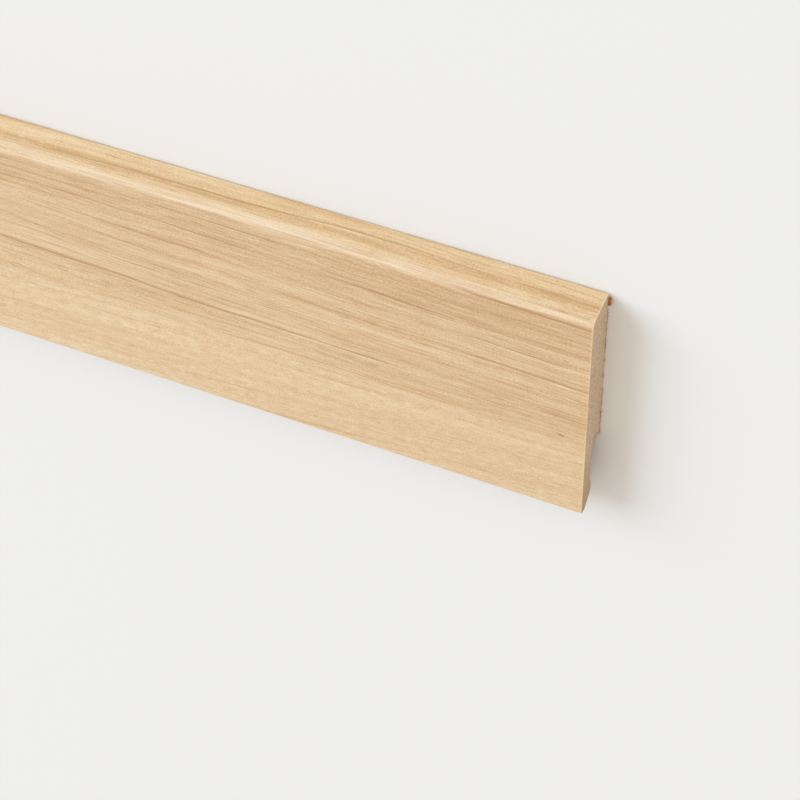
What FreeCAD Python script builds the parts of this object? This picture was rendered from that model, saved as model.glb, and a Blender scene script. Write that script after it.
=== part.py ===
import FreeCAD, Part
import math
import os

# A length of clip-on skirting board: a fibreboard core wrapped in thin oak veneer.
# It lies on its back with its face up. X runs along the length, Y from the floor edge
# to the sloped top edge, and Z from the wall plane up to the face. The origin lies in
# the wall plane, under the middle of the length and of the height.

# The board as a whole
board_length = 2400.0
board_height = 80.0
board_thickness = 12.0
veneer_thickness = 0.5

# Top edge: it falls from the wall to the face, and a round arris joins it to the face
top_fall_angle = 15.0
face_arris_radius = 2.6
wall_arris_radius = 0.8
veneer_fold_on_back = 5.0

# Floor edge: a narrow foot under the face, then a bevel up to the back of the nose
foot_width = 2.6
foot_arris_radius = 1.0
bevel_rise = 4.6
nose_depth = 6.9
nose_height = 3.4
bevel_edge_radius = 1.1

# Clip recess: a lip above the nose, a leaning back wall, and an undercut under the block
lip_rise = 3.4
lip_depth = 1.5
recess_rise = 16.4
recess_lean = 1.6
undercut_drop = 3.3
recess_corner_radius = 0.6

# The wall arris is round, so its two flanks would meet a little above the board's height
wall_arris_half_angle = math.radians(90 - top_fall_angle) / 2
wall_flanks_meet_height = board_height + wall_arris_radius * (1 / math.tan(wall_arris_half_angle) - 1)
top_fall = board_thickness * math.tan(math.radians(top_fall_angle))
face_flanks_meet_height = wall_flanks_meet_height - top_fall

# Heights above the floor edge and depths behind the face that follow from these
bevel_top = bevel_rise
nose_top = bevel_top + nose_height
lip_top = nose_top + lip_rise
recess_top = lip_top + recess_rise
block_foot = recess_top - undercut_drop
lip_foot_depth = nose_depth - lip_depth
recess_top_depth = lip_foot_depth + recess_lean
veneer_fold_foot = board_height - veneer_fold_on_back


def section_point(height, depth):
    """A point of the section, from its height above the floor edge and its depth behind the face."""
    return FreeCAD.Vector(-board_length / 2, height - board_height / 2, board_thickness - depth)


def rounded_path(corners, radii):
    """An open path through the corners, with a tangent arc at each inner corner that has a radius."""
    edges = []
    start = corners[0]
    for before, corner, after, radius in zip(corners, corners[1:], corners[2:], radii):
        if radius == 0:
            edges.append(Part.makeLine(start, corner))
            start = corner
            continue
        inward = (before - corner).normalize()
        outward = (after - corner).normalize()
        half_angle = inward.getAngle(outward) / 2
        reach = radius / math.tan(half_angle)
        bisector = (inward + outward).normalize()
        centre = corner + bisector * (radius / math.sin(half_angle))
        arc_start = corner + inward * reach
        arc_end = corner + outward * reach
        edges.append(Part.makeLine(start, arc_start))
        edges.append(Part.Arc(arc_start, centre - bisector * radius, arc_end).toShape())
        start = arc_end
    edges.append(Part.makeLine(start, corners[-1]))
    return Part.Wire(edges)


def veneered_path():
    """The stretch of the outline that the veneer covers, from the nose round the face to the back."""
    corners = [
        section_point(nose_top, nose_depth),
        section_point(bevel_top, nose_depth),
        section_point(0.0, foot_width),
        section_point(0.0, 0.0),
        section_point(face_flanks_meet_height, 0.0),
        section_point(wall_flanks_meet_height, board_thickness),
        section_point(veneer_fold_foot, board_thickness),
    ]
    radii = [bevel_edge_radius, bevel_edge_radius, foot_arris_radius, face_arris_radius, wall_arris_radius]
    return rounded_path(corners, radii)


def bare_path():
    """The stretch of the outline where the fibreboard is bare: the back and the clip recess."""
    corners = [
        section_point(veneer_fold_foot, board_thickness),
        section_point(block_foot, board_thickness),
        section_point(recess_top, recess_top_depth),
        section_point(lip_top, lip_foot_depth),
        section_point(nose_top, nose_depth),
    ]
    radii = [0.0, recess_corner_radius, recess_corner_radius]
    return rounded_path(corners, radii)


def veneer_section():
    """The band of veneer, which lies just inside the covered stretch of the outline."""
    join_with_arcs = 0
    return veneered_path().makeOffset2D(veneer_thickness, join_with_arcs, True, True, False)


def core_section():
    """The fibreboard: the whole section of the board, less the band of veneer."""
    board_section = Part.Face(Part.Wire(veneered_path().Edges + bare_path().Edges))
    return board_section.cut(veneer_section()).Faces[0]


def drawn_out(section):
    """A section in the plane of one end, drawn out to the whole length."""
    return section.extrude(FreeCAD.Vector(board_length, 0, 0))


os.makedirs("parts", exist_ok=True)
drawn_out(core_section()).exportStep("parts/fibreboard_core.step")
drawn_out(veneer_section()).exportStep("parts/oak_veneer.step")
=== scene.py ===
"""Dresses a length of oak veneered skirting board, which lies on its back with its face up.

X runs along the board, Y from its floor edge to its sloped top edge, and Z from the wall
plane up to its face. All sizes are in metres.
"""

import logging
import math
from dataclasses import dataclass
from enum import Enum
from typing import Any, Mapping, Sequence

import bpy
from mathutils import Matrix, Vector, noise

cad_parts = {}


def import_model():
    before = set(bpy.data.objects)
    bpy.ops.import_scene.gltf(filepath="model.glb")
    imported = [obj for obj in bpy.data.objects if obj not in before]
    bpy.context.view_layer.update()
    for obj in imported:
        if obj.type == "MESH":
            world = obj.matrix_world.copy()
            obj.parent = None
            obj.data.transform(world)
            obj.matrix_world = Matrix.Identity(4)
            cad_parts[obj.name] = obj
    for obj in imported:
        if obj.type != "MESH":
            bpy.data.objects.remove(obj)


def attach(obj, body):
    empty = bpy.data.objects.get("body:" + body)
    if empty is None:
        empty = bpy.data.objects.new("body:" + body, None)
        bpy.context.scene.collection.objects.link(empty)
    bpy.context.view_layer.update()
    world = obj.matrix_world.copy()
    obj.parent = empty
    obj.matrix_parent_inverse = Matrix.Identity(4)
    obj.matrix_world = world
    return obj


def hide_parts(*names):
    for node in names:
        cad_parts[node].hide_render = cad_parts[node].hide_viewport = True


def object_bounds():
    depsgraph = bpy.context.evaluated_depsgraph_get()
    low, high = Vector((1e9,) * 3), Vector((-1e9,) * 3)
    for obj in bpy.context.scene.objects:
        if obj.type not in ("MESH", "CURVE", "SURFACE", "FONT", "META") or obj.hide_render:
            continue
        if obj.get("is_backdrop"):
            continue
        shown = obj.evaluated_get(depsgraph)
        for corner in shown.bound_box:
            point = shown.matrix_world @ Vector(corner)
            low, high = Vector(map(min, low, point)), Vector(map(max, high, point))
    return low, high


LOG = logging.getLogger("skirting")
MM = 0.001
ROOT_BODY = "root"
SHEET_PLACE = "sheet_place"
ACROSS = "across"
BURIED = "buried"

Colour = tuple[float, float, float, float]
Triple = tuple[float, float, float]


def paint_chip(red: int, green: int, blue: int) -> Colour:
    """Turns a colour as a screen shows it into the light that a shader works with.

    Args:
        red: Red, from 0 to 255.
        green: Green, from 0 to 255.
        blue: Blue, from 0 to 255.

    Returns:
        The linear colour, with an alpha of one.
    """
    knee, slope, offset, gamma = 0.04045, 12.92, 0.055, 2.4
    shares = [part / 255 for part in (red, green, blue)]
    light = [s / slope if s <= knee else ((s + offset) / (1 + offset)) ** gamma for s in shares]
    return (*light, 1.0)


class Graph:
    """A node tree of a material or of a geometry modifier, built with one method."""

    def __init__(self, tree: bpy.types.NodeTree) -> None:
        """Keeps the tree that the nodes go into."""
        self.tree = tree

    @staticmethod
    def socket(sockets: Any, key: str | int) -> bpy.types.NodeSocket:
        """Finds a socket that is in use.

        Args:
            sockets: A node's inputs or outputs.
            key: The socket's name, its identifier or its place among those in use.

        Returns:
            The socket.
        """
        usable = [socket for socket in sockets if socket.enabled]
        if isinstance(key, int):
            return usable[key]
        return next(socket for socket in usable if key in (socket.name, socket.identifier))

    def node(
        self,
        kind: str,
        settings: Mapping[str, Any] | None = None,
        inputs: Mapping[str | int, Any] | None = None,
    ) -> "Reading":
        """Adds one node: its settings first, then the values or links of its sockets.

        Args:
            kind: The node's type.
            settings: The node's own settings, with "stops" for a ramp's places and colours.
            inputs: A value or a reading for each socket.

        Returns:
            The reading of the node's first output.
        """
        made = self.tree.nodes.new(kind)
        for name, setting in (settings or {}).items():
            if name == "stops":
                self._set_stops(made.color_ramp, setting)
            else:
                setattr(made, name, setting)
        for key, given in (inputs or {}).items():
            socket = self.socket(made.inputs, key)
            if isinstance(given, Reading):
                self.tree.links.new(given.output, socket)
            else:
                socket.default_value = given
        return Reading(self, made, self.socket(made.outputs, 0) if made.outputs else None)

    @staticmethod
    def _set_stops(ramp: bpy.types.ColorRamp, stops: Sequence[tuple[float, Colour]]) -> None:
        """Gives a ramp its stops.

        Args:
            ramp: The ramp, which has two stops or fewer than it needs.
            stops: The place and the colour of each stop.
        """
        while len(ramp.elements) < len(stops):
            ramp.elements.new(1.0)
        for element, (place, colour) in zip(ramp.elements, stops):
            element.position = place
            element.color = colour

    def maths(self, operation: str, *values: Any, clamp: bool = False) -> "Reading":
        """Adds a Math node on one to three numbers or readings, and returns its reading."""
        settings = {"operation": operation, "use_clamp": clamp}
        return self.node("ShaderNodeMath", settings, dict(enumerate(values)))

    def vector(self, *parts: Any) -> "Reading":
        """Joins up to three numbers or readings into a vector."""
        return self.node("ShaderNodeCombineXYZ", inputs=dict(enumerate(parts)))


@dataclass(frozen=True)
class Reading:
    """An output of a node, which Python's operators work on as on a number."""

    graph: Graph
    node: bpy.types.Node
    output: bpy.types.NodeSocket | None

    def other(self, key: str | int) -> "Reading":
        """Another output of the same node, by its name or its place."""
        return Reading(self.graph, self.node, Graph.socket(self.node.outputs, key))

    def parts(self) -> tuple["Reading", "Reading", "Reading"]:
        """The three numbers of a vector."""
        split = self.graph.node("ShaderNodeSeparateXYZ", inputs={"Vector": self})
        return split, split.other("Y"), split.other("Z")

    def clamped(self) -> "Reading":
        """The number, held between zero and one."""
        return self.graph.maths("ADD", self, 0.0, clamp=True)

    def size(self) -> "Reading":
        """The number without its sign."""
        return self.graph.maths("ABSOLUTE", self)

    def __add__(self, other: Any) -> "Reading":
        """Adds a number or a reading."""
        return self.graph.maths("ADD", self, other)

    __radd__ = __add__

    def __mul__(self, other: Any) -> "Reading":
        """Multiplies by a number or a reading."""
        return self.graph.maths("MULTIPLY", self, other)

    __rmul__ = __mul__

    def __sub__(self, other: Any) -> "Reading":
        """Takes a number or a reading away."""
        return self.graph.maths("SUBTRACT", self, other)

    def __rsub__(self, other: Any) -> "Reading":
        """Takes this away from a number or a reading."""
        return self.graph.maths("SUBTRACT", other, self)

    def __truediv__(self, other: Any) -> "Reading":
        """Divides by a number or a reading."""
        return self.graph.maths("DIVIDE", self, other)


@dataclass(frozen=True)
class Rise:
    """A smooth step, from zero at one number to one at another, which may be the lower one."""

    zero_at: float
    one_at: float


@dataclass(frozen=True)
class Streaks:
    """Random streaks along the grain: their size, start in the noise, strength, and share in calm wood."""

    length: float
    width: float
    start: float
    strength: float
    detail: float = 1.0
    roughness: float = 0.5
    calm: float = 0.60


@dataclass(frozen=True)
class Patches:
    """Random patches along the grain: their size, start in the noise, and the part of it they take up."""

    length: float
    width: float
    start: float
    extent: Rise
    detail: float = 1.0


@dataclass(frozen=True)
class Dashes:
    """Dashes in some cells: where a random draw picks one, how its dash fades, and which draw counts."""

    picked: Rise
    core: Rise
    draw: int = 0


class Paint(Graph):
    """A material's graph, with the few patterns that the finishes share."""

    def __init__(self, name: str) -> None:
        """Makes the material, with nothing in its tree yet.

        Args:
            name: The material's name.
        """
        self.material = bpy.data.materials.new(name)
        self.material.use_nodes = True
        super().__init__(self.material.node_tree)
        self.tree.nodes.clear()

    def attribute(self, name: str) -> Reading:
        """An attribute of the mesh, whose number and whose vector are further outputs."""
        return self.node("ShaderNodeAttribute", {"attribute_name": name})

    def cloud(self, place: Sequence[Any], detail: float = 1.0, roughness: float = 0.5) -> Reading:
        """A soft random pattern, which swings by about a half to each side of zero.

        Args:
            place: Three numbers or readings, each already divided by the size of a patch that way.
            detail: How many finer patterns are laid over the first.
            roughness: How strong the finer ones are.

        Returns:
            The pattern's reading.
        """
        inputs = {"Vector": self.vector(*place), "Scale": 1.0, "Detail": detail, "Roughness": roughness}
        return self.node("ShaderNodeTexNoise", {"noise_dimensions": "3D"}, inputs) - 0.5

    def dashes(self, place: Sequence[Any], pattern: Dashes) -> Reading:
        """Short dashes, scattered at random.

        Args:
            place: Three numbers or readings, each already divided by the size of a cell that way.
            pattern: Which cells hold a dash, and how it fades.

        Returns:
            A reading of one in the middle of a dash and zero outside.
        """
        inputs = {"Vector": self.vector(*place), "Scale": 1.0}
        cells = self.node("ShaderNodeTexVoronoi", {"feature": "F1"}, inputs)
        picked = self.between(cells.other("Color").parts()[pattern.draw], pattern.picked)
        return self.between(cells, pattern.core) * picked

    def between(self, value: Any, rise: Rise) -> Reading:
        """A smooth step from zero to one.

        Args:
            value: The number or reading that the step goes by.
            rise: Where it is zero and where it is one.

        Returns:
            The step's reading.
        """
        low, high = sorted((rise.zero_at, rise.one_at))
        settings = {"interpolation_type": "SMOOTHSTEP", "clamp": True}
        step = self.node("ShaderNodeMapRange", settings, {"Value": value, "From Min": low, "From Max": high})
        return step if rise.zero_at < rise.one_at else 1 - step

    def streaks(self, along: Reading, lane: Reading, pattern: Streaks) -> Reading:
        """Streaks along the grain, which swing about zero.

        Args:
            along: The place along the grain.
            lane: The place across it.
            pattern: The streaks' size and strength.

        Returns:
            The streaks' reading.
        """
        place = (along / pattern.length, lane / pattern.width, pattern.start)
        return self.cloud(place, pattern.detail, pattern.roughness) * pattern.strength

    def patches(self, along: Reading, lane: Reading, pattern: Patches) -> Reading:
        """Patches along the grain.

        Args:
            along: The place along the grain.
            lane: The place across it.
            pattern: The patches' size and extent.

        Returns:
            A reading of one inside a patch and zero outside.
        """
        place = (along / pattern.length, lane / pattern.width, pattern.start)
        return self.between(self.cloud(place, pattern.detail), pattern.extent)

    def ramp(self, tone: Any, stops: Sequence[tuple[float, Colour]]) -> Reading:
        """Colours that follow a tone, through stops of a tone and a colour each."""
        return self.node("ShaderNodeValToRGB", {"stops": stops}, {"Fac": tone})

    def blend(self, share: Any, first: Any, second: Any) -> Reading:
        """Mixes two colours: the first at a share of zero, and the second at one."""
        return self.node("ShaderNodeMix", {"data_type": "RGBA"}, {"Factor": share, "A": first, "B": second})

    def tinted(self, share: Any, colour: Any, tint: Any) -> Reading:
        """Multiplies a colour by a tint, as far as the share says."""
        settings = {"data_type": "RGBA", "blend_type": "MULTIPLY"}
        return self.node("ShaderNodeMix", settings, {"Factor": share, "A": colour, "B": tint})

    def relief(self, height: Reading, depth: float) -> Reading:
        """A bump from a height, of which one stands for this depth in metres."""
        return self.node("ShaderNodeBump", inputs={"Strength": 1.0, "Distance": depth, "Height": height})

    def surface(self, **sockets: Any) -> bpy.types.Material:
        """Closes the material with one Principled shader.

        Args:
            **sockets: Values or readings, named as the shader's sockets with underscores for spaces.

        Returns:
            The finished material.
        """
        named = {name.replace("_", " "): value for name, value in sockets.items()}
        shader = self.node("ShaderNodeBsdfPrincipled", inputs=named)
        self.node("ShaderNodeOutputMaterial", inputs={"Surface": shader})
        return self.material


@dataclass(frozen=True)
class FigureBand:
    """A stripe of the veneer's figure: where it lies across the sheet, how wide it is, and its tone."""

    middle: float
    half_width: float
    edge: float
    tone: float


@dataclass(frozen=True)
class OpenPore:
    """A short dark mark: its place along and across the sheet, and how dark it is."""

    along: float
    across: float
    darkness: float


@dataclass(frozen=True)
class VeneerSpot:
    """Readings of one spot of the veneer: its place, its lanes of grain and figure, and how lively it is."""

    paint: Paint
    along: Reading
    across: Reading
    from_end: Reading
    lane: Reading
    figure: Reading
    lively: Reading
    on_slope: Reading


@dataclass(frozen=True)
class OakVeneerFinish:
    """Oak veneer under satin lacquer, with its grain along the sheet and its figure across it."""

    name: str = "lacquered_oak_veneer"

    # Colours, and the tones at which the wood has the first three
    tan: Colour = paint_chip(202, 165, 123)
    honey: Colour = paint_chip(221, 190, 149)
    pale: Colour = paint_chip(234, 213, 178)
    tan_tone: float = 0.10
    honey_tone: float = 0.48
    pale_tone: float = 0.88
    brown: Colour = paint_chip(163, 118, 76)
    # cream is the colour of the ray flecks, and of the painted highlight along the face arris
    cream: Colour = paint_chip(243, 223, 192)
    orange: Colour = paint_chip(206, 150, 98)
    # peach is the colour of the painted highlight at the saw cut
    peach: Colour = paint_chip(244, 214, 174)
    # painted light: the slope is brighter and a touch warmer than the face, as the light falls on it
    slope_painted_light: Colour = (1.05, 1.045, 0.995, 1.0)

    # Gloss and relief
    refraction: float = 1.38
    lacquer: float = 0.12
    lacquer_roughness: float = 0.45
    roughness: float = 0.46
    fibre_gloss: float = 0.20
    pore_roughness: float = 0.15
    pore_depth: float = 0.7
    ring_depth: float = 0.2
    relief_depth: float = 0.04 * MM

    # The arrises and the slope, by their place across the sheet
    face_arris: float = 0.0776
    wall_arris: float = 0.0878
    slope: Rise = Rise(face_arris, face_arris + 2.0 * MM)

    # Lively wood, and the calm wood near the floor edge
    wakes: Rise = Rise(0.027, 0.030)
    calm: float = 0.35
    slope_life: float = 0.88

    # Bands of figure, the slow swing of the tone, which near the right end is painted light falling off to
    # the right, and how the figure wanders away from the right end
    ground_tone: float = 0.46
    bands: tuple[FigureBand, ...] = (
        FigureBand(0.0140, 0.0140, 0.0012, 0.14),
        FigureBand(0.0445, 0.0030, 0.0012, 0.05),
        FigureBand(0.0580, 0.0020, 0.0012, 0.05),
        FigureBand(0.0690, 0.0060, 0.0020, -0.12),
        FigureBand(0.0818, 0.0012, 0.0008, -0.20),
        FigureBand(0.0856, 0.0024, 0.0010, 0.08),
    )
    tone_swing: float = 0.085
    tone_wave: float = 0.9
    tone_middle: float = 1.11
    wander: Streaks = Streaks(0.60, 0.30, 8.8, 0.05)
    wanders: Rise = Rise(1.0, 0.7)
    figure_sway: float = 0.15

    # How the lanes of grain sway, and lean down to the right in lively wood and up in calm wood
    sway: Streaks = Streaks(0.24, 0.055, 1.7, 0.014, detail=2.0)
    ripple: Streaks = Streaks(0.035, 0.006, 5.1, 0.0016, detail=2.0)
    lean_middle: float = 1.1
    lean_wave: float = 0.7
    lean_down: float = 0.022
    lean_down_above: Rise = Rise(0.030, 0.045)
    lean_down_below: Rise = Rise(0.084, 0.070)
    lean_up: float = 0.080
    lean_up_below: Rise = Rise(0.040, 0.014)

    # Streaks, from broad ones to the finest ticks, and the mottle of calm wood
    fibres: tuple[Streaks, ...] = (
        Streaks(0.12, 0.0036, 2.3, 0.60, calm=0.70),
        Streaks(0.045, 0.0010, 3.9, 0.66, detail=2.0, roughness=0.8, calm=0.60),
        Streaks(0.013, 0.00050, 7.4, 1.05, detail=2.0, roughness=0.6, calm=0.40),
        Streaks(0.0016, 0.00040, 14.2, 0.36, calm=1.0),
        Streaks(0.00060, 0.00048, 41.0, 0.80, calm=1.1),
    )
    mottle: Streaks = Streaks(0.0040, 0.0018, 31.0, 0.80)

    # Growth rings
    ring_width: float = 0.0042
    ring_spread: Streaks = Streaks(0.45, 0.011, 9.6, 3.2)
    ring_kept: Patches = Patches(0.050, 0.137, 2.2, Rise(-0.08, 0.12), detail=2.0)
    ring_line: Rise = Rise(0.16, 0.02)
    ring_line_tone: float = 0.20
    ring_line_brown: float = 0.46
    ring_glow: Rise = Rise(0.78, 1.0)
    ring_glow_tone: float = 0.14

    # Pores
    pore_length: float = 0.0085
    pore_width: float = 0.00036
    pore_start: float = 0.5
    pores: Dashes = Dashes(Rise(0.70, 0.74), Rise(0.40, 0.10))
    pore_brown: float = 0.6
    early_wood: Patches = Patches(0.12, 0.0030, 17.9, Rise(-0.06, 0.12))
    late_wood_pores: float = 0.15

    # Ray flecks
    fleck_length: float = 0.0034
    fleck_width: float = 0.0013
    fleck_start: float = 21.5
    flecks: Dashes = Dashes(Rise(0.72, 0.78), Rise(0.42, 0.12), draw=1)
    fleck_clusters: Patches = Patches(0.045, 0.0055, 23.7, Rise(-0.08, 0.08))
    calm_flecks: float = 0.9
    slope_flecks: float = 0.4

    # Single open pores
    marks: tuple[OpenPore, ...] = (OpenPore(1.1920, 0.0302, 0.85), OpenPore(1.1922, 0.0600, 0.45))
    mark_half_length: float = 0.0013
    mark_half_width: float = 0.00035
    mark_slant: float = 0.15
    mark_rag: Streaks = Streaks(0.0006, 0.0004, 3.0, 1.0)
    mark_edge: Rise = Rise(1.1, 0.3)

    # Orange patches along the wall arris
    wall_arris_patches: Patches = Patches(0.045, 0.004, 6.6, Rise(-0.06, 0.18), detail=2.0)
    wall_arris_reach: Rise = Rise(0.0026, 0.0002)
    wall_arris_orange_share: float = 0.5

    # Painted highlight along the arris of the face, in stretches and streaks
    highlight_edge: Streaks = Streaks(0.018, 0.002, 29.1, 0.0020)
    highlight_below: float = 0.0004
    highlight_reach: Rise = Rise(0.0028, 0.0006)
    highlight_stretches: Patches = Patches(0.11, 0.003, 19.4, Rise(-0.20, 0.12))
    stretch_cream: float = 0.32
    highlight_streaks: Patches = Patches(0.030, 0.0005, 27.2, Rise(-0.09, 0.07), detail=2.0)
    streak_cream: float = 0.42

    # Painted highlight along the sharp edge at the saw cut
    cut_reach: Rise = Rise(0.6 * MM, 0.1 * MM)
    cut_peach: float = 0.3
    cut_upper: Rise = Rise(0.060, 0.080)
    cut_upper_peach: float = 0.3

    def material(self) -> bpy.types.Material:
        """Builds the material: colour, gloss and relief from the place on the unrolled sheet.

        Returns:
            The material.
        """
        paint = Paint(self.name)
        spot = self._spot(paint)
        dark_ring, pale_ring = self._rings(spot)
        pores = self._pores(spot) * spot.lively
        fibres = self._fibres(spot)
        rings = pale_ring * self.ring_glow_tone - dark_ring * self.ring_line_tone
        tone = self._figure(spot) + fibres + rings * spot.lively
        stops = [(self.tan_tone, self.tan), (self.honey_tone, self.honey), (self.pale_tone, self.pale)]
        # painted light on the slope, which is tinted brighter
        colour = paint.tinted(spot.on_slope, paint.ramp(tone, stops), self.slope_painted_light)
        for share, chip in (
            (self._ray_flecks(spot), self.cream),
            (dark_ring * spot.lively * self.ring_line_brown, self.brown),
            (pores * self.pore_brown, self.brown),
            (self._marks(spot), self.brown),
            (self._orange_along_wall_arris(spot), self.orange),
            # painted highlight along the arris of the face
            (self._painted_arris_highlight(spot), self.cream),
            # painted highlight right at the saw cut
            (self._painted_cut_highlight(spot), self.peach),
        ):
            colour = paint.blend(share.clamped(), colour, chip)
        height = fibres - pores * self.pore_depth - dark_ring * self.ring_depth
        return paint.surface(
            Base_Color=colour,
            Roughness=self.roughness - fibres * self.fibre_gloss + pores * self.pore_roughness,
            Normal=paint.relief(height, self.relief_depth),
            IOR=self.refraction,
            Coat_Weight=self.lacquer,
            Coat_Roughness=self.lacquer_roughness,
        )

    def _spot(self, paint: Paint) -> VeneerSpot:
        """Reads the place on the sheet and works out the lane of grain there.

        Args:
            paint: The material's graph.

        Returns:
            The readings of the spot.
        """
        along, across, from_end = paint.attribute(SHEET_PLACE).other("Vector").parts()
        sway = paint.streaks(along, across, self.sway)
        turns = 2 * math.pi / self.lean_wave
        wave = paint.maths("SINE", (along - self.lean_middle) * turns) / turns
        leans_down = paint.between(across, self.lean_down_above) * paint.between(across, self.lean_down_below)
        lean = leans_down * self.lean_down - paint.between(across, self.lean_up_below) * self.lean_up
        lane = across + sway + paint.streaks(along, across, self.ripple) + wave * lean
        figure = across + paint.streaks(along, across, self.wander) * paint.between(along, self.wanders)
        woken = paint.between(figure + sway * self.figure_sway, self.wakes)
        on_slope = paint.between(across, self.slope)
        lively = (woken + on_slope * (self.slope_life - woken)) * (1 - self.calm) + self.calm
        return VeneerSpot(paint, along, across, from_end, lane, figure, lively, on_slope)

    def _figure(self, spot: VeneerSpot) -> Reading:
        """The tone of the broad bands of figure and of the slow swing along the sheet, which near the right
        end is painted light, darker to the right.

        Args:
            spot: The spot of the veneer.

        Returns:
            The tone.
        """
        turns = 2 * math.pi / self.tone_wave
        # the swing darkens towards the right end: a painted falloff of light there
        swing = spot.paint.maths("SINE", (self.tone_middle - spot.along) * turns)
        tone = swing * self.tone_swing + self.ground_tone
        for band in self.bands:
            edge = Rise(band.half_width + band.edge, band.half_width - band.edge)
            tone = tone + spot.paint.between((spot.figure - band.middle).size(), edge) * band.tone
        return tone

    def _fibres(self, spot: VeneerSpot) -> Reading:
        """The tone of the streaks along the grain, which in calm wood are weaker and give way to mottle.

        Args:
            spot: The spot of the veneer.

        Returns:
            The tone.
        """
        woken = (spot.lively - self.calm) / (1 - self.calm)
        tone = spot.paint.streaks(spot.along, spot.lane, self.mottle) * (1 - spot.lively)
        for layer in self.fibres:
            share = woken * (1 - layer.calm) + layer.calm
            tone = tone + spot.paint.streaks(spot.along, spot.lane, layer) * share
        return tone

    def _rings(self, spot: VeneerSpot) -> tuple[Reading, Reading]:
        """The growth rings: a thin dark line where one ends, and a pale glow just before it.

        Args:
            spot: The spot of the veneer.

        Returns:
            The strength of the dark line, and that of the glow.
        """
        paint = spot.paint
        count = spot.lane / self.ring_width + paint.streaks(spot.along, spot.lane, self.ring_spread)
        phase = paint.maths("FRACT", count)
        kept = paint.patches(spot.along, paint.maths("FLOOR", count), self.ring_kept)
        return paint.between(phase, self.ring_line) * kept, paint.between(phase, self.ring_glow) * kept

    def _pores(self, spot: VeneerSpot) -> Reading:
        """Short dark dashes of open pores, which lie closer where the wood grew early.

        Args:
            spot: The spot of the veneer.

        Returns:
            The strength of the dashes.
        """
        place = (spot.along / self.pore_length, spot.lane / self.pore_width, self.pore_start)
        early = spot.paint.patches(spot.along, spot.lane, self.early_wood)
        share = early * (1 - self.late_wood_pores) + self.late_wood_pores
        return spot.paint.dashes(place, self.pores) * share

    def _ray_flecks(self, spot: VeneerSpot) -> Reading:
        """Small pale flecks where a ray lies flat in the surface, clustered in calm wood and on the slope.

        Args:
            spot: The spot of the veneer.

        Returns:
            The share of cream.
        """
        place = (spot.along / self.fleck_length, spot.lane / self.fleck_width, self.fleck_start)
        cluster = spot.paint.patches(spot.along, spot.lane, self.fleck_clusters)
        shown = (1 - spot.lively) * self.calm_flecks + spot.on_slope * self.slope_flecks
        return spot.paint.dashes(place, self.flecks) * cluster * shown

    def _marks(self, spot: VeneerSpot) -> Reading:
        """The few dark marks of single open pores.

        Args:
            spot: The spot of the veneer.

        Returns:
            The share of brown.
        """
        share = 0.0
        ragged = spot.paint.streaks(spot.along, spot.across, self.mark_rag)
        for mark in self.marks:
            off = spot.along - mark.along
            length = off / self.mark_half_length
            width = (spot.across - mark.across + off * self.mark_slant) / self.mark_half_width
            inside = spot.paint.between(length * length + width * width + ragged, self.mark_edge)
            share = inside * mark.darkness + share
        return share

    def _orange_along_wall_arris(self, spot: VeneerSpot) -> Reading:
        """The share of orange along the wall arris, in patches."""
        near = spot.paint.between((spot.across - self.wall_arris).size(), self.wall_arris_reach)
        return near * spot.paint.patches(spot.along, spot.across, self.wall_arris_patches) * self.wall_arris_orange_share

    def _painted_arris_highlight(self, spot: VeneerSpot) -> Reading:
        """The share of cream along the arris of the face: a painted highlight, in stretches and streaks.

        Args:
            spot: The spot of the veneer.

        Returns:
            The share of cream.
        """
        paint, along, across = spot.paint, spot.along, spot.across
        stretch = paint.patches(along, across, self.highlight_stretches) * self.stretch_cream
        streak = paint.patches(along, across, self.highlight_streaks) * self.streak_cream
        middle = self.face_arris - self.highlight_below - paint.streaks(along, across, self.highlight_edge)
        return paint.between((across - middle).size(), self.highlight_reach) * (stretch + streak)

    def _painted_cut_highlight(self, spot: VeneerSpot) -> Reading:
        """The share of peach right at the saw cut, a painted highlight where the sharp edge takes the light.
        """
        share = spot.paint.between(spot.across, self.cut_upper) * self.cut_upper_peach + self.cut_peach
        return spot.paint.between(spot.from_end, self.cut_reach) * share


@dataclass(frozen=True)
class VeneerEdgeFinish:
    """The veneer's own thickness where a saw or a trimming knife has cut it."""

    name: str = "cut_edge_of_veneer"
    light: Colour = paint_chip(246, 222, 186)
    tan: Colour = paint_chip(186, 126, 80)
    glue: Colour = paint_chip(134, 96, 66)
    grain: Streaks = Streaks(0.0009, 0.25, 3.3, 1.0, detail=2.0, roughness=0.6)
    grain_tan: float = 0.5
    round_foot: Rise = Rise(0.003, -0.002)
    glue_line: Rise = Rise(0.62, 0.95)
    glue_strength: float = 0.7
    roughness: float = 0.75
    grain_roughness: float = 0.1
    relief_depth: float = 0.06 * MM

    def material(self) -> bpy.types.Material:
        """Builds the material, tan round the foot and the nose, with its glue line inside.

        Returns:
            The material.
        """
        paint = Paint(self.name)
        _, across, _ = paint.attribute(SHEET_PLACE).other("Vector").parts()
        buried = paint.attribute(BURIED).other("Fac")
        grain = paint.streaks(across, buried, self.grain)
        share = paint.between(across, self.round_foot) + grain * self.grain_tan
        colour = paint.blend(share.clamped(), self.light, self.tan)
        colour = paint.blend(paint.between(buried, self.glue_line) * self.glue_strength, colour, self.glue)
        return paint.surface(
            Base_Color=colour,
            Roughness=self.roughness + grain * self.grain_roughness,
            Normal=paint.relief(grain, self.relief_depth),
            IOR=1.45,
        )


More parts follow.
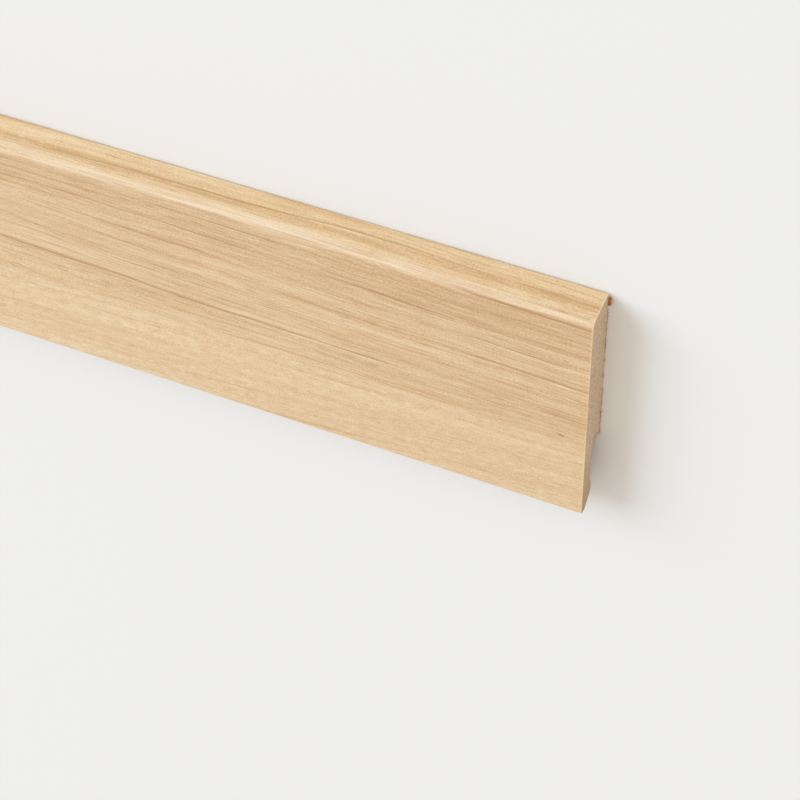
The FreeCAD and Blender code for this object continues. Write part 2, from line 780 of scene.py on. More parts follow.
@dataclass(frozen=True)
class FibreboardFinish:
    """Bare fibreboard: its layers, fibres and dark bundles of them, tool marks, and painted shade that
    darkens it towards the foot.
    """

    name: str
    dark: Colour
    base: Colour
    light: Colour
    fibre_size: Triple
    fibre_strength: float
    relief_depth: float
    mark_size: Triple = (0.001, 0.001, 0.001)
    mark_strength: float = 0.0
    bundle_size: Triple = (0.001, 0.001, 0.001)
    bundle_strength: float = 0.0
    # painted shade: how far the sawn end darkens towards the foot
    foot_painted_shade: float = 0.0
    dark_tone: float = 0.18
    base_tone: float = 0.5
    light_tone: float = 0.85
    layer_size: Triple = (0.03, 0.009, 0.0011)
    layer_strength: float = 0.5
    bundles: Dashes = Dashes(Rise(0.76, 0.82), Rise(0.40, 0.14))
    near_foot_shade: Rise = Rise(-0.010, -0.044)
    roughness: float = 0.86
    fibre_roughness: float = 0.2
    fibre_relief: float = 0.6
    mark_relief: float = 0.4
    bundle_depth: float = 0.5

    def material(self) -> bpy.types.Material:
        """Builds the material from the place in the board.

        Returns:
            The material.
        """
        paint = Paint(self.name)
        place = paint.node("ShaderNodeTexCoord").other("Object").parts()

        def shrunk(size: Triple) -> list[Reading]:
            """The place, divided by a size in each direction."""
            return [part / step for part, step in zip(place, size)]

        layers = paint.cloud(shrunk(self.layer_size), detail=2.0, roughness=0.55)
        fibres = paint.cloud(shrunk(self.fibre_size), detail=3.0, roughness=0.65)
        marks = paint.cloud(shrunk(self.mark_size))
        bundles = paint.dashes(shrunk(self.bundle_size), self.bundles)
        tone = layers * self.layer_strength + fibres * self.fibre_strength + marks * self.mark_strength
        stops = [(self.dark_tone, self.dark), (self.base_tone, self.base), (self.light_tone, self.light)]
        # painted shade, darker towards the foot
        foot = paint.between(place[1], self.near_foot_shade) * self.foot_painted_shade
        shade = (bundles * self.bundle_strength + foot).clamped()
        height = fibres * self.fibre_relief + marks * self.mark_relief - bundles * self.bundle_depth
        return paint.surface(
            Base_Color=paint.blend(shade, paint.ramp(tone + self.base_tone, stops), self.dark),
            Roughness=self.roughness + fibres * self.fibre_roughness,
            Normal=paint.relief(height, self.relief_depth),
            IOR=1.4,
        )


SAWN_FIBREBOARD = FibreboardFinish(
    name="sawn_fibreboard",
    dark=paint_chip(179, 149, 122),
    base=paint_chip(209, 184, 156),
    light=paint_chip(227, 205, 179),
    fibre_size=(0.0011, 0.0011, 0.00040),
    fibre_strength=1.4,
    relief_depth=0.10 * MM,
    mark_size=(0.002, 0.0018, 0.0005),
    mark_strength=0.34,
    bundle_size=(0.0016, 0.0024, 0.00036),
    bundle_strength=0.4,
    # painted shade towards the foot of the sawn end
    foot_painted_shade=0.85,
)
MACHINED_FIBREBOARD = FibreboardFinish(
    name="machined_fibreboard",
    dark=paint_chip(178, 147, 113),
    base=paint_chip(205, 176, 142),
    light=paint_chip(219, 193, 160),
    fibre_size=(0.0009, 0.0006, 0.0006),
    fibre_strength=0.9,
    relief_depth=0.05 * MM,
    mark_size=(0.25, 0.0007, 0.0007),
    mark_strength=0.34,
    bundle_size=(0.0021, 0.0006, 0.0006),
    bundle_strength=0.3,
)
FRAYED_FIBREBOARD = FibreboardFinish(
    name="frayed_fibreboard",
    dark=paint_chip(154, 114, 76),
    base=paint_chip(190, 152, 112),
    light=paint_chip(216, 184, 146),
    fibre_size=(0.0011, 0.0009, 0.00045),
    fibre_strength=1.4,
    relief_depth=0.05 * MM,
)


@dataclass(frozen=True)
class TornVeneerFinish:
    """The splintered underside of veneer that the saw tore out, stained by its glue."""

    name: str = "torn_veneer"
    dark: Colour = paint_chip(178, 126, 78)
    tip: Colour = paint_chip(236, 200, 158)
    lightens: Rise = Rise(0.0007, 0.0013)
    strands: Streaks = Streaks(0.0012, 0.00018, 4.2, 1.0, detail=2.0, roughness=0.6)
    strand_light: float = 0.7
    roughness: float = 0.85
    strand_roughness: float = 0.1
    relief_depth: float = 0.15 * MM

    def material(self) -> bpy.types.Material:
        """Builds the material, dark at the root and lighter along the tip.

        Returns:
            The material.
        """
        paint = Paint(self.name)
        outward, upward, _ = paint.attribute(SHEET_PLACE).other("Vector").parts()
        strands = paint.streaks(outward, upward, self.strands)
        share = paint.between(outward, self.lightens) + strands * self.strand_light
        return paint.surface(
            Base_Color=paint.blend(share.clamped(), self.dark, self.tip),
            Roughness=self.roughness + strands * self.strand_roughness,
            Normal=paint.relief(strands, self.relief_depth),
            IOR=1.4,
        )


@dataclass(frozen=True)
class PaleFloorFinish:
    """The plain pale floor of the studio."""

    name: str = "pale_floor"
    colour: Colour = paint_chip(238, 239, 240)
    shade: Colour = paint_chip(221, 221, 220)
    cloud_size: float = 0.8
    cloud_strength: float = 0.06

    def material(self) -> bpy.types.Material:
        """Builds the material, matt and almost even.

        Returns:
            The material.
        """
        paint = Paint(self.name)
        x, y, z = paint.node("ShaderNodeTexCoord").other("Object").parts()
        cloud = paint.cloud((x / self.cloud_size, y / self.cloud_size, z)) + 0.5
        share = (cloud * self.cloud_strength).clamped()
        return paint.surface(Base_Color=paint.blend(share, self.colour, self.shade), Roughness=0.9, IOR=1.3)


@dataclass(frozen=True)
class Corner:
    """A corner of the section: its height above the floor edge, its depth behind the face, its radius."""

    height: float
    depth: float
    radius: float = 0.0

    def place(self) -> Vector:
        """The corner as a vector of height and depth."""
        return Vector((self.height, self.depth))


@dataclass(frozen=True)
class PathPoint:
    """A point of a rounded path, with the direction that the path runs in there."""

    place: Vector
    heading: Vector

    def inward(self) -> Vector:
        """The direction into the board, square to the path."""
        return Vector((-self.heading.y, self.heading.x))


@dataclass
class BoardSection:
    """The board's section, which every piece takes its shape from."""

    length: float
    height: float
    thickness: float
    veneer: float = 0.5 * MM
    top_fall: float = math.radians(15.0)
    face_arris: float = 2.6 * MM
    wall_arris: float = 0.8 * MM
    fold_on_back: float = 5.0 * MM
    foot_width: float = 2.6 * MM
    foot_arris: float = 1.0 * MM
    bevel_rise: float = 4.6 * MM
    bevel_edge: float = 1.1 * MM
    nose_depth: float = 6.9 * MM
    nose_height: float = 3.4 * MM
    lip_rise: float = 3.4 * MM
    lip_depth: float = 1.5 * MM
    recess_rise: float = 16.4 * MM
    recess_lean: float = 1.6 * MM
    undercut_drop: float = 3.3 * MM
    recess_corner: float = 0.6 * MM
    longest_step: float = 1.5 * MM
    arc_step: float = math.radians(8.0)

    @property
    def nose_top(self) -> float:
        """The height where the veneer ends on the nose."""
        return self.bevel_rise + self.nose_height

    @property
    def fold_foot(self) -> float:
        """The height where the veneer ends on the back."""
        return self.height - self.fold_on_back

    @property
    def block_foot(self) -> float:
        """The height of the upper block's lower edge at the back."""
        return self.nose_top + self.lip_rise + self.recess_rise - self.undercut_drop

    def veneered_corners(self) -> list[Corner]:
        """The corners of the covered stretch.

        Returns:
            The corners, from the nose round the face to the back.
        """
        half_angle = (math.pi / 2 - self.top_fall) / 2
        wall_flanks_meet = self.height + self.wall_arris * (1 / math.tan(half_angle) - 1)
        face_flanks_meet = wall_flanks_meet - self.thickness * math.tan(self.top_fall)
        return [
            Corner(self.nose_top, self.nose_depth),
            Corner(self.bevel_rise, self.nose_depth, self.bevel_edge),
            Corner(0.0, self.foot_width, self.bevel_edge),
            Corner(0.0, 0.0, self.foot_arris),
            Corner(face_flanks_meet, 0.0, self.face_arris),
            Corner(wall_flanks_meet, self.thickness, self.wall_arris),
            Corner(self.fold_foot, self.thickness),
        ]

    def bare_corners(self) -> list[Corner]:
        """The corners of the bare stretch.

        Returns:
            The corners, from the back down round the clip recess to the nose.
        """
        lip_top = self.nose_top + self.lip_rise
        lip_foot_depth = self.nose_depth - self.lip_depth
        return [
            Corner(self.fold_foot, self.thickness),
            Corner(self.block_foot, self.thickness),
            Corner(lip_top + self.recess_rise, lip_foot_depth + self.recess_lean, self.recess_corner),
            Corner(lip_top, lip_foot_depth, self.recess_corner),
            Corner(self.nose_top, self.nose_depth),
        ]

    def rounded(self, corners: Sequence[Corner]) -> list[PathPoint]:
        """Runs a path through corners, with an arc at each that has a radius.

        Args:
            corners: The corners in order.

        Returns:
            The path's points, no further apart than the longest step.
        """
        points: list[PathPoint] = []
        start = corners[0].place()
        for before, corner, after in zip(corners, corners[1:], corners[2:]):
            inward = (before.place() - corner.place()).normalized()
            outward = (after.place() - corner.place()).normalized()
            half_angle = inward.angle(outward) / 2
            reach = corner.radius / math.tan(half_angle)
            arc_start = corner.place() + inward * reach
            points += self._straight(start, arc_start)
            if corner.radius:
                bisector = (inward + outward).normalized()
                centre = corner.place() + bisector * (corner.radius / math.sin(half_angle))
                points += self._arc(centre, arc_start, -inward, math.pi - 2 * half_angle, outward)
            start = corner.place() + outward * reach
        return points + self._straight(start, corners[-1].place(), closing=True)

    def _straight(self, start: Vector, end: Vector, closing: bool = False) -> list[PathPoint]:
        """Points along a line.

        Args:
            start: The line's first point.
            end: Its last point.
            closing: Whether the last point is among them.

        Returns:
            The points.
        """
        run = end - start
        steps = max(1, math.ceil(run.length / self.longest_step))
        heading = run.normalized()
        return [PathPoint(start + run * (i / steps), heading) for i in range(steps + closing)]

    def _arc(
        self, centre: Vector, start: Vector, heading: Vector, turn: float, outward: Vector
    ) -> list[PathPoint]:
        """Points along an arc, which leaves out its last point.

        Args:
            centre: The arc's centre.
            start: Its first point.
            heading: The direction of the path at its start.
            turn: The angle that it turns through.
            outward: The direction of the path at its end.

        Returns:
            The points, each with the path's heading there.
        """
        side = 1.0 if heading.x * outward.y - heading.y * outward.x > 0 else -1.0
        steps = max(2, math.ceil(turn / self.arc_step))
        points = []
        for i in range(steps):
            rotation = Matrix.Rotation(side * turn * i / steps, 2)
            points.append(PathPoint(centre + rotation @ (start - centre), rotation @ heading))
        return points

    def veneer_sides(self) -> tuple[list[Vector], list[Vector]]:
        """The two sides of the veneer, from the nose round the face to the back.

        Returns:
            The places of its outside, and the places under them on its inside.
        """
        points = self.rounded(self.veneered_corners())
        outside = [point.place for point in points]
        inside = [point.place + point.inward() * self.veneer for point in points]
        return outside, inside

    def in_frame(self, place: Vector, x: float = 0.0) -> Vector:
        """A place of the section, of height and depth, in the board's frame."""
        return Vector((x, place.x - self.height / 2, self.thickness - place.y))

    def profile(self, places: Sequence[Vector]) -> list[Vector]:
        """Places of the section, laid out so that the sweep brings them into the board's frame."""
        there = [self.in_frame(place) for place in places]
        return [Vector((-place.y, -place.z, 0.0)) for place in there]


class TreeInput(Enum):
    """A named input of a geometry tree: its label, and the type of its socket."""

    @property
    def label(self) -> str:
        """The input's name in the tree."""
        return self.value[0]

    @property
    def kind(self) -> str:
        """The type of its socket."""
        return self.value[1]


class SweepInput(TreeInput):
    """The inputs of the sweep that draws a section out along the board."""

    LENGTH = "Board length", "NodeSocketFloat"
    STATIONS = "Stations", "NodeSocketInt"
    RAGGED = "Raggedness of the saw cut", "NodeSocketFloat"
    SKIN = "Skin", "NodeSocketMaterial"
    CUT = "Cut face", "NodeSocketMaterial"


class FrayInput(TreeInput):
    """The inputs of the fraying that sets fibres along a sawn edge."""

    SPACING = "Spacing", "NodeSocketFloat"
    THICKNESS = "Fibre thickness", "NodeSocketFloat"
    LENGTH = "Fibre length", "NodeSocketFloat"
    SHARE = "Share of fibres", "NodeSocketFloat"
    BARE = "Bare share of the edge", "NodeSocketFloat"
    SEED = "Seed", "NodeSocketInt"
    FINISH = "Finish", "NodeSocketMaterial"


def placed(name: str, data: bpy.types.ID) -> bpy.types.Object:
    """Makes an object of a mesh, camera or lamp, and puts it into the scene.

    Args:
        name: The object's name.
        data: What it is made of.

    Returns:
        The object, at the origin.
    """
    made = bpy.data.objects.new(name, data)
    bpy.context.scene.collection.objects.link(made)
    return made


class GeometryTree(Graph):
    """A tree of Geometry Nodes with named inputs, which turns an outline into a plain mesh."""

    def __init__(self, name: str, inputs: type[TreeInput]) -> None:
        """Makes the tree with a geometry in and out.

        Args:
            name: The tree's name.
            inputs: Its named inputs.
        """
        super().__init__(bpy.data.node_groups.new(name, "GeometryNodeTree"))
        face = self.tree.interface
        face.new_socket("Geometry", in_out="INPUT", socket_type="NodeSocketGeometry")
        face.new_socket("Geometry", in_out="OUTPUT", socket_type="NodeSocketGeometry")
        self.sockets = {
            key: face.new_socket(key.label, in_out="INPUT", socket_type=key.kind).identifier for key in inputs
        }
        self.start = self.node("NodeGroupInput")

    def given(self, key: TreeInput) -> Reading:
        """The reading of a named input."""
        return self.start.other(key.label)

    def random_vector(self, lowest: Triple, highest: Triple, seed: Reading) -> Reading:
        """A vector for each instance, drawn between two others."""
        inputs = {"Min": lowest, "Max": highest, "Seed": seed}
        return self.node("FunctionNodeRandomValue", {"data_type": "FLOAT_VECTOR"}, inputs)

    def dressed(self, geometry: Reading, material: Reading, chosen: Any = True) -> Reading:
        """Gives the chosen faces of a geometry a material."""
        inputs = {"Geometry": geometry, "Selection": chosen, "Material": material}
        return self.node("GeometryNodeSetMaterial", inputs=inputs)

    def close(self, geometry: Reading) -> None:
        """Ends the tree in a geometry."""
        self.node("NodeGroupOutput", inputs={"Geometry": geometry})

    def grown_from(
        self, outline: bpy.types.Mesh, name: str, values: Mapping[TreeInput, Any]
    ) -> bpy.types.Object:
        """Runs the tree on an outline and keeps what it makes.

        Args:
            outline: A mesh of edges, which the tree starts from and which is removed.
            name: The name of the piece.
            values: The value of each named input.

        Returns:
            The piece, as a plain mesh at the origin.
        """
        seed = placed(name + "_outline", outline)
        modifier = seed.modifiers.new(self.tree.name, "NODES")
        modifier.node_group = self.tree
        for key, value in values.items():
            modifier[self.sockets[key]] = value
        bpy.context.view_layer.update()
        evaluated = seed.evaluated_get(bpy.context.evaluated_depsgraph_get())
        mesh = bpy.data.meshes.new_from_object(evaluated)
        bpy.data.objects.remove(seed)
        bpy.data.meshes.remove(outline)
        mesh.name = name
        return placed(name, mesh)


def sweep_tree() -> GeometryTree:
    """Builds the tree that draws a closed outline out along the board, and caps its sawn ends.

    Returns:
        The tree, whose result keeps the attributes of the outline.
    """
    tree = GeometryTree("draw_out_along_board", SweepInput)
    bites_per_metre = 900.0
    end_slack = 0.01 * MM
    facing_along = 0.9
    half = tree.given(SweepInput.LENGTH) * 0.5
    ends = {"Start": tree.vector(half * -1.0), "End": tree.vector(half)}
    outline = tree.node("GeometryNodeMeshToCurve", inputs={"Mesh": tree.start})
    line = tree.node("GeometryNodeCurvePrimitiveLine", inputs=ends)
    stations = {"Curve": line, "Count": tree.given(SweepInput.STATIONS)}
    path = tree.node("GeometryNodeResampleCurve", inputs=stations)
    drawn = {"Curve": path, "Profile Curve": outline, "Fill Caps": True}
    swept = tree.node("GeometryNodeCurveToMesh", inputs=drawn)
    x, y, z = tree.node("GeometryNodeInputPosition").parts()
    bites = {"Vector": tree.vector(x, y, z), "Scale": bites_per_metre, "Detail": 2.0}
    rough = tree.node("ShaderNodeTexNoise", inputs=bites)
    bite = tree.maths("SIGN", x) * rough * tree.given(SweepInput.RAGGED) * -1.0
    at_end = tree.maths("GREATER_THAN", x.size(), half - end_slack)
    moved = {"Geometry": swept, "Selection": at_end, "Offset": tree.vector(bite)}
    bitten = tree.node("GeometryNodeSetPosition", inputs=moved)
    realized = tree.node("GeometryNodeRealizeInstances", inputs={"Geometry": bitten})
    finished = tree.dressed(realized, tree.given(SweepInput.SKIN))
    facing, _, _ = tree.node("GeometryNodeInputNormal").parts()
    capped = tree.maths("GREATER_THAN", facing.size(), facing_along)
    tree.close(tree.dressed(finished, tree.given(SweepInput.CUT), capped))
    return tree


def fray_tree() -> GeometryTree:
    """Builds the tree that sets short fibres along a sawn edge.

    Returns:
        The tree, whose fibres point out of the cut and lean at random.
    """
    tree = GeometryTree("fray_sawn_edge", FrayInput)
    clumps_per_metre = 550.0
    sides = 5
    tip_share = 0.2
    least_turn, most_turn = (-0.5, 0.45, -1.2), (0.5, 2.6, 1.2)
    least_size, most_size = (0.5, 0.5, 0.25), (1.3, 1.3, 1.2)
    seed = tree.given(FrayInput.SEED)
    thickness = tree.given(FrayInput.THICKNESS)
    edge = tree.node("GeometryNodeMeshToCurve", inputs={"Mesh": tree.start})
    spaced = {"Curve": edge, "Length": tree.given(FrayInput.SPACING)}
    roots = tree.node("GeometryNodeResampleCurve", {"mode": "LENGTH"}, spaced)
    draw = {"Probability": tree.given(FrayInput.SHARE), "Seed": seed}
    chosen = tree.node("FunctionNodeRandomValue", {"data_type": "BOOLEAN"}, draw)
    clumps = tree.node("ShaderNodeTexNoise", inputs={"Scale": clumps_per_metre, "Detail": 1.0})
    fibre = tree.node(
        "GeometryNodeMeshCone",
        inputs={
            "Vertices": sides,
            "Radius Top": thickness * tip_share,
            "Radius Bottom": thickness * 0.5,
            "Depth": tree.given(FrayInput.LENGTH),
        },
    )
    fibres = tree.node(
        "GeometryNodeInstanceOnPoints",
        inputs={
            "Points": roots,
            "Selection": chosen * tree.maths("GREATER_THAN", clumps, tree.given(FrayInput.BARE)),
            "Instance": fibre,
            "Rotation": tree.random_vector(least_turn, most_turn, seed + 1),
            "Scale": tree.random_vector(least_size, most_size, seed + 2),
        },
    )
    realized = tree.node("GeometryNodeRealizeInstances", inputs={"Geometry": fibres})
    tree.close(tree.dressed(realized, tree.given(FrayInput.FINISH)))
    return tree


def edge_mesh(name: str, places: Sequence[Vector], edges: Sequence[tuple[int, int]]) -> bpy.types.Mesh:
    """Makes a mesh of edges.

    Args:
        name: The mesh's name.
        places: The places that the edges run between.
        edges: The two places of each edge, by their number.

    Returns:
        The mesh.
    """
    mesh = bpy.data.meshes.new(name)
    mesh.from_pydata([tuple(place) for place in places], edges, [])
    return mesh


def chain(count: int, closed: bool = False) -> list[tuple[int, int]]:
    """The edges from each of so many places to the next, and back to the first if the chain is closed."""
    return [(i, (i + 1) % count) for i in range(count if closed else count - 1)]


def mount(piece: bpy.types.Object) -> None:
    """Makes a finished piece ride on the board.

    Args:
        piece: The piece.
    """
    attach(piece, ROOT_BODY)
    LOG.info("%s: %d faces", piece.name, len(piece.data.polygons))


@dataclass
class DrawnPiece:
    """A piece whose outline is drawn out along the board, from one saw cut to the other."""

    section: BoardSection
    sweep: GeometryTree
    raggedness: float = 0.05 * MM
    stations: int = 25
    crease: float = math.radians(35.0)

    def outline(self, name: str, places: Sequence[Vector]) -> bpy.types.Mesh:
        """A closed outline through places of the section."""
        return edge_mesh(name, self.section.profile(places), chain(len(places), closed=True))

    def drawn(
        self, outline: bpy.types.Mesh, name: str, skin: bpy.types.Material, cut: bpy.types.Material
    ) -> bpy.types.Object:
        """Draws the outline out along the board.

        Args:
            outline: The closed outline of the piece.
            name: The piece's name.
            skin: The material of its sides.
            cut: The material of its sawn ends.

        Returns:
            The piece, sharp along its creases.
        """
        values = {
            SweepInput.LENGTH: self.section.length,
            SweepInput.STATIONS: self.stations,
            SweepInput.RAGGED: self.raggedness,
            SweepInput.SKIN: skin,
            SweepInput.CUT: cut,
        }
        piece = self.sweep.grown_from(outline, name, values)
        piece.data.set_sharp_from_angle(angle=self.crease)
        return piece


@dataclass
class VeneerWrap(DrawnPiece):
    """The sheet of oak veneer, wrapped from the nose round the face to the back."""

    raggedness: float = 0.08 * MM

    def build(self) -> bpy.types.Object:
        """Draws the band of veneer out along the board.

        Returns:
            The piece, which stands for the oak veneer.
        """
        outer, inner = self.section.veneer_sides()
        outline = self.outline("veneer_outline", outer + inner[::-1])
        girths = self._girths(outer)
        depths = [0.0] * len(outer) + [1.0] * len(inner)
        for name, numbers in ((ACROSS, girths + girths[::-1]), (BURIED, depths)):
            outline.attributes.new(name, "FLOAT", "POINT").data.foreach_set("value", numbers)
        skin = OakVeneerFinish().material()
        cut = VeneerEdgeFinish().material()
        piece = self.drawn(outline, "oak_veneer_wrap", skin, cut)
        self._store_sheet_place(piece.data)
        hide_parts("oak_veneer")
        mount(piece)
        return piece

    def _girths(self, outer: Sequence[Vector]) -> list[float]:
        """How far along the sheet each point lies, counted so that on the face it is the height.

        Args:
            outer: The points of the sheet's outside.

        Returns:
            The distance of each point.
        """
        run = [0.0]
        for here, there in zip(outer, outer[1:]):
            run.append(run[-1] + (there - here).length)
        past_arris = self.section.foot_arris * 2
        flush = 0.001 * MM
        on_face = next(i for i, place in enumerate(outer) if place.x > past_arris and place.y < flush)
        return [length - run[on_face] + outer[on_face].x for length in run]

    def _store_sheet_place(self, mesh: bpy.types.Mesh) -> None:
        """Stores the place on the unrolled sheet: along it, across it, and how far from a sawn end.

        Args:
            mesh: The piece's mesh.
        """
        place = mesh.attributes.new(SHEET_PLACE, "FLOAT_VECTOR", "POINT")
        across = mesh.attributes[ACROSS]
        for vertex, girth, stored in zip(mesh.vertices, across.data, place.data):
            stored.vector = (vertex.co.x, girth.value, self.section.length / 2 - abs(vertex.co.x))


@dataclass
class FibreboardCore(DrawnPiece):
    """The machined fibreboard inside the veneer, bare at the back and at both sawn ends."""

    def build(self) -> bpy.types.Object:
        """Draws the core's section out along the board.

        Returns:
            The piece, which stands for the fibreboard core.
        """
        _, under_veneer = self.section.veneer_sides()
        bare = [point.place for point in self.section.rounded(self.section.bare_corners())]
        outline = self.outline("core_outline", under_veneer + bare)
        skin = MACHINED_FIBREBOARD.material()
        cut = SAWN_FIBREBOARD.material()
        piece = self.drawn(outline, "fibreboard_body", skin, cut)
        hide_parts("fibreboard_core")
        mount(piece)
        return piece


class BoardEnd(Enum):
    """The two sawn ends, by the side of the middle that they lie on."""

    LEFT = -1
    RIGHT = 1


@dataclass(frozen=True)
class Fibres:
    """Short fibres along a sawn edge: how far apart, how thick and long, and how much of the edge has any."""

    spacing: float
    thickness: float
    length: float
    share: float
    bare: float

    def set_along(
        self, outline: bpy.types.Mesh, name: str, fray: GeometryTree, seed: int
    ) -> bpy.types.Object:
        """Sets the fibres along an edge.

        Args:
            outline: The edge.
            name: The name of the piece that holds the fibres.
            fray: The tree that sets them.
            seed: The seed of what is random about them.

        Returns:
            The piece, which rides on the board.
        """
        values = {
            FrayInput.SPACING: self.spacing,
            FrayInput.THICKNESS: self.thickness,
            FrayInput.LENGTH: self.length,
            FrayInput.SHARE: self.share,
            FrayInput.BARE: self.bare,
            FrayInput.SEED: seed,
            FrayInput.FINISH: FRAYED_FIBREBOARD.material(),
        }
        piece = fray.grown_from(outline, name, values)
        mount(piece)
        return piece


@dataclass
class FrayedEdges:
    """The short fibres that the saw left along the bare edges of one end."""

    section: BoardSection
    fray: GeometryTree
    end: BoardEnd
    seed: int = 7
    fibres: Fibres = Fibres(0.10 * MM, 0.11 * MM, 0.65 * MM, share=0.6, bare=0.52)

    def build(self) -> bpy.types.Object:
        """Sets the fibres along the back and the recess.

        Returns:
            The piece that holds all fibres of this end.
        """
        x = self.end.value * self.section.length / 2
        name = f"frayed_edge_{self.end.name.lower()}"
        points = self.section.rounded(self.section.bare_corners()[:3])
        places = [self.section.in_frame(point.place, x) for point in points]
        lifted = [Vector((place.x, place.y, max(place.z, self.fibres.length))) for place in places]
        outline = edge_mesh(name, lifted, chain(len(lifted)))
        return self.fibres.set_along(outline, name, self.fray, self.seed + self.end.value)


@dataclass
class SawBurrs:
    """The two tufts of fibre that stand out of the back edge of the right end."""

    section: BoardSection
    fray: GeometryTree
    heights: tuple[float, ...] = (33.2 * MM, 66.1 * MM)
    tuft: float = 0.7 * MM
    seed: int = 21
    fibres: Fibres = Fibres(0.12 * MM, 0.22 * MM, 0.75 * MM, share=1.0, bare=0.0)

    def build(self) -> bpy.types.Object:
        """Sets both tufts.

        Returns:
            The piece that holds both.
        """
        depth = self.section.thickness - self.fibres.length
        ends = [height + side * self.tuft / 2 for height in self.heights for side in (-1, 1)]
        places = [self.section.in_frame(Vector((end, depth)), self.section.length / 2) for end in ends]
        outline = edge_mesh("saw_burrs", places, chain(len(places))[::2])
        return self.fibres.set_along(outline, "saw_burrs", self.fray, self.seed)


@dataclass
class TornFlake:
    """The flake of veneer that the saw tore loose at the top of the right end's back."""

    section: BoardSection
    low: float = 75.5 * MM
    high: float = 78.5 * MM
    reach: float = 1.50 * MM
    root: float = 0.3 * MM
    thickness: float = 0.35 * MM
    lift: float = 0.30 * MM
    root_lift: float = 0.3
    bluntness: float = 0.7
    rag: float = 0.22
    rag_turns: float = 9.0
    rag_start: float = 3.1
    curl_turns_out: float = 3.0
    curl_turns_up: float = 4.0
    curl_start: float = 7.7
    columns: int = 16
    rows: int = 18

    def build(self) -> bpy.types.Object:
        """Models the flake as a bent, ragged tongue.

        Returns:
            The piece.
        """
        outs = [column / self.columns for column in range(self.columns + 1)]
        ups = [row / self.rows for row in range(self.rows + 1)]
        shares = [(out, up) for out in outs for up in ups]
        places = [self._place(out, up) for out, up in shares]
        sheet = [(out * self._tip(up) * self.reach, up * (self.high - self.low), 0.0) for out, up in shares]
        width = len(ups)
        starts = [column * width + row for column in range(self.columns) for row in range(self.rows)]
        faces = [(start, start + width, start + width + 1, start + 1) for start in starts]
        mesh = bpy.data.meshes.new("torn_flake")
        mesh.from_pydata(places, [], faces)
        stored = mesh.attributes.new(SHEET_PLACE, "FLOAT_VECTOR", "POINT")
        for value, point in zip(sheet, stored.data):
            point.vector = value
        mesh.materials.append(TornVeneerFinish().material())
        piece = placed("torn_flake", mesh)
        solidify = piece.modifiers.new("thickness", "SOLIDIFY")
        solidify.thickness = self.thickness
        solidify.offset = 0.0
        mount(piece)
        return piece

    def _tip(self, up: float) -> float:
        """The share of the whole reach that the flake has here: a blunt, ragged lobe."""
        lobe = max(0.0, math.sin(math.pi * up)) ** self.bluntness
        return lobe * (1 + self.rag * noise.noise(Vector((up * self.rag_turns, self.rag_start, 0.0))))

    def _place(self, out: float, up: float) -> Vector:
        """A point of the flake.

        Args:
            out: Its share of the way out from the root.
            up: Its share of the way up.

        Returns:
            The point, in the board's frame.
        """
        height = self.low + (self.high - self.low) * up
        x = self.section.length / 2 - self.root + (self.reach * self._tip(up) + self.root) * out
        turn = Vector((out * self.curl_turns_out, up * self.curl_turns_up, self.curl_start))
        curl = out * (1 + noise.noise(turn))
        z = self.thickness / 2 + self.lift * (self.root_lift + curl)
        return Vector((x, height - self.section.height / 2, z))


@dataclass
class PhotoCamera:
    """The camera of the photograph, which looks at the right end from above the top edge."""

    section: BoardSection
    focal_length: float = 118.1
    sensor_width: float = 36.0
    heading: float = math.radians(25.13)
    look_down: float = math.radians(42.43)
    distance: float = 0.8087
    aim_from_end: float = 61.4 * MM
    aim_height: float = 23.9 * MM
    nearest: float = 0.01

    def build(self) -> bpy.types.Object:
        """Places the camera, level with the board as the photograph shows it.

        Returns:
            The camera.
        """
        level = math.cos(self.look_down)
        away = Vector(
            (math.sin(self.heading) * level, math.sin(self.look_down), math.cos(self.heading) * level)
        )
        aim_x = self.section.length / 2 - self.aim_from_end
        aim = Vector((aim_x, self.aim_height - self.section.height / 2, self.section.thickness))
        right = Vector((0.0, 1.0, 0.0)).cross(away).normalized()
        up = away.cross(right)
        data = bpy.data.cameras.new("photo_camera")
        data.lens = self.focal_length
        data.sensor_width = self.sensor_width
        data.clip_start = self.nearest
        camera = placed("photo_camera", data)
        axes = Matrix((right, up, away)).transposed().to_4x4()
        camera.matrix_world = Matrix.Translation(aim + away * self.distance) @ axes
        bpy.context.scene.camera = camera
        return camera


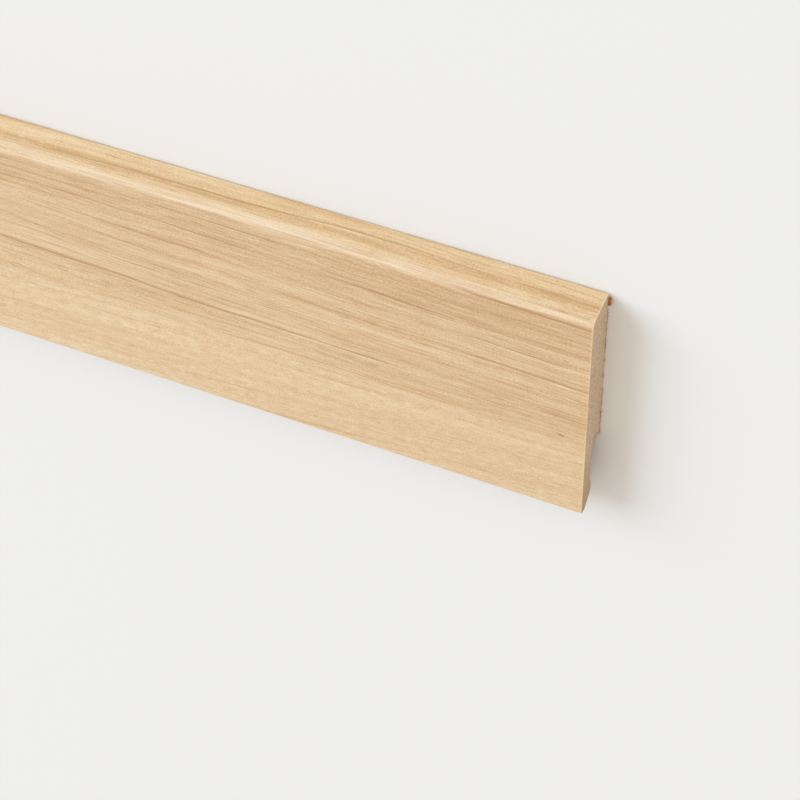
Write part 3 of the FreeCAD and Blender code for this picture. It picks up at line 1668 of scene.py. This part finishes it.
@dataclass
class Studio:
    """A plain pale floor, soft light from all round, and one broad soft lamp."""

    section: BoardSection
    floor_half: float = 12.0
    sky_strength: float = 0.72
    sky_colour: Colour = (1.08, 1.0, 0.90, 1.0)
    lamp_power: float = 2590.0
    lamp_colour: Triple = (0.85, 1.0, 1.17)
    lamp_size: float = 16.0
    lamp_distance: float = 20.0
    lamp_direction: Triple = (-0.77, 0.31, 0.49)

    def build(self) -> None:
        """Lays the floor, lights the room and sets how the picture shows light."""
        self._floor()
        self._sky()
        self._lamp()
        view = bpy.context.scene.view_settings
        view.view_transform = "Standard"
        view.look = "None"

    def _floor(self) -> None:
        """Lays the floor under the board's back."""
        mesh = bpy.data.meshes.new("pale_floor")
        half = self.floor_half
        corners = [(-half, -half, 0.0), (half, -half, 0.0), (half, half, 0.0), (-half, half, 0.0)]
        mesh.from_pydata(corners, [], [(0, 1, 2, 3)])
        mesh.materials.append(PaleFloorFinish().material())
        placed("pale_floor", mesh)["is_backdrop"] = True

    def _sky(self) -> None:
        """Gives the room its even light."""
        world = bpy.data.worlds.new("soft_room")
        world.use_nodes = True
        graph = Graph(world.node_tree)
        world.node_tree.nodes.clear()
        shine = {"Color": self.sky_colour, "Strength": self.sky_strength}
        light = graph.node("ShaderNodeBackground", inputs=shine)
        graph.node("ShaderNodeOutputWorld", inputs={"Surface": light})
        bpy.context.scene.world = world

    def _lamp(self) -> None:
        """Hangs the broad lamp, aimed at the right end."""
        data = bpy.data.lights.new("broad_lamp", "AREA")
        data.shape = "DISK"
        data.size = self.lamp_size
        data.color = self.lamp_colour
        data.energy = self.lamp_power
        lamp = placed("broad_lamp", data)
        direction = Vector(self.lamp_direction).normalized()
        aim = Vector((self.section.length / 2, 0.0, self.section.thickness))
        lamp.location = aim + direction * self.lamp_distance
        lamp.rotation_euler = direction.to_track_quat("Z", "Y").to_euler()


def main() -> None:
    """Builds the board's pieces, the camera and the studio, in that order."""
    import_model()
    cad_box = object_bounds()
    length, height, thickness = cad_box[1] - cad_box[0]
    section = BoardSection(length, height, thickness)
    sweep = sweep_tree()
    fray = fray_tree()
    VeneerWrap(section, sweep).build()
    FibreboardCore(section, sweep).build()
    for end in BoardEnd:
        FrayedEdges(section, fray, end).build()
    SawBurrs(section, fray).build()
    TornFlake(section).build()
    PhotoCamera(section).build()
    Studio(section).build()


if __name__ == "__main__":
    logging.basicConfig(level=logging.INFO, format="%(message)s")
    main()
